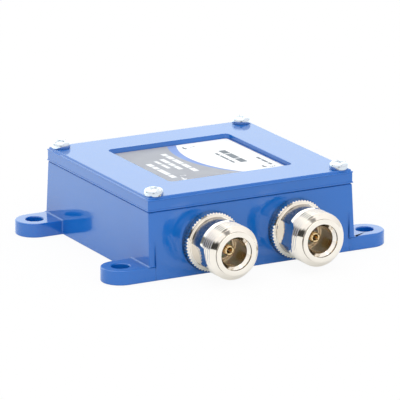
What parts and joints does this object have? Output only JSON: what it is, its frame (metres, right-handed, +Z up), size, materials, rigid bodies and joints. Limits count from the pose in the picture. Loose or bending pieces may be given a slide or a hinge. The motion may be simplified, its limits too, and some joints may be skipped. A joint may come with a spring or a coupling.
{
  "type": "rf power tapper",
  "caption": "Shallow square painted box with a screwed lid and corner lugs that splits one coaxial line into a wide and a narrow branch, with threaded jacks on the front and back walls.",
  "frame": {"origin": "centre of the box's base plane", "axes": "+X along the front wall, -Y out of the front wall with its pair of jacks, +Z up through the lid"},
  "size_m": [0.0912, 0.0978, 0.0262],
  "materials": {
    "paint_blue": "gloss",
    "seal": "matte",
    "label": "satin",
    "screw_steel": "bright",
    "jack_plating": "polished",
    "bead": "satin",
    "gold": "polished",
    "laminate": "satin",
    "copper": "satin"
  },
  "bodies": {
    "root": {"housing": "paint_blue", "lid": "paint_blue", "lid_seal": "seal", "label": "label", "screw_front_left": "screw_steel", "screw_front_right": "screw_steel", "screw_back_left": "screw_steel", "screw_back_right": "screw_steel", "jack_left_body": "jack_plating", "jack_left_insulator": "bead", "jack_left_contact": "gold", "jack_right_body": "jack_plating", "jack_right_insulator": "bead", "jack_right_contact": "gold", "jack_back_body": "jack_plating", "jack_back_insulator": "bead", "jack_back_contact": "gold", "circuit_board": "laminate", "copper_track": "copper", "ground_foil": "copper", "board_screw_front_left": "screw_steel", "board_screw_front_right": "screw_steel", "board_screw_back_left": "screw_steel", "board_screw_back_right": "screw_steel"}
  },
  "joints": []
}
